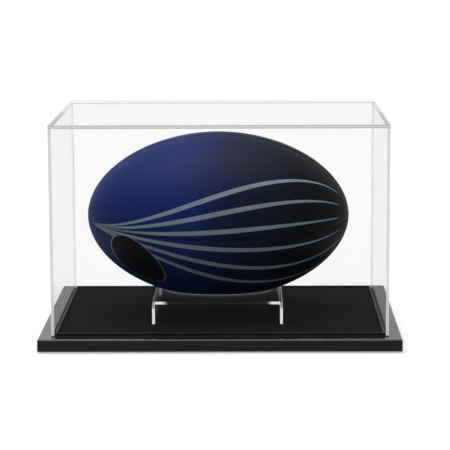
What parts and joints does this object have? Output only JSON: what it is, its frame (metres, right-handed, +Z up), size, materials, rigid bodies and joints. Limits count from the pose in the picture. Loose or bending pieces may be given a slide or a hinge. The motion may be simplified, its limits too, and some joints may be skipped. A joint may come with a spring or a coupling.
{
  "type": "ball display case",
  "caption": "Clear box cover over a gloss black base, with a bent clear stand holding an oval rugby ball on a fabric panel.",
  "frame": {"origin": "on the floor under the middle of the base", "axes": "+X along the case and the ball's long axis, -Y is the front, +Z up"},
  "size_m": [0.388, 0.298, 0.2417],
  "materials": {
    "gloss_black": "gloss",
    "black_fabric": "matte",
    "clear_acrylic": "clear polished acrylic",
    "rubber": "matte",
    "ball_skin": "satin"
  },
  "bodies": {
    "base": {"base_board": "gloss_black", "display_panel": "black_fabric", "strip_front": "gloss_black", "strip_back": "gloss_black", "strip_left": "gloss_black", "strip_right": "gloss_black", "foot_front_left": "rubber", "foot_front_right": "rubber", "foot_back_left": "rubber", "foot_back_right": "rubber"},
    "cover": {"cover_top": "clear_acrylic", "cover_front": "clear_acrylic", "cover_back": "clear_acrylic", "cover_left": "clear_acrylic", "cover_right": "clear_acrylic"},
    "stand": {"ball_stand": "clear_acrylic"},
    "ball": {"ball_panel_front_upper": "ball_skin", "ball_panel_back_upper": "ball_skin", "ball_panel_back_lower": "ball_skin", "ball_panel_front_lower": "ball_skin", "ball_bladder": "rubber", "ball_valve": "rubber"}
  },
  "joints": [
    {"name": "cover_lift", "type": "slide", "parent": "base", "child": "cover", "axis": [0, 0, 1], "range_m": [0, 0.25]},
    {"name": "stand_lift", "type": "slide", "parent": "base", "child": "stand", "axis": [0, 0, 1], "range_m": [0, 0.018]},
    {"name": "ball_turn", "type": "hinge", "parent": "stand", "child": "ball", "pos_m": [-0.0034, 0, 0.12574], "axis": [1, 0, 0], "continuous": true}
  ]
}
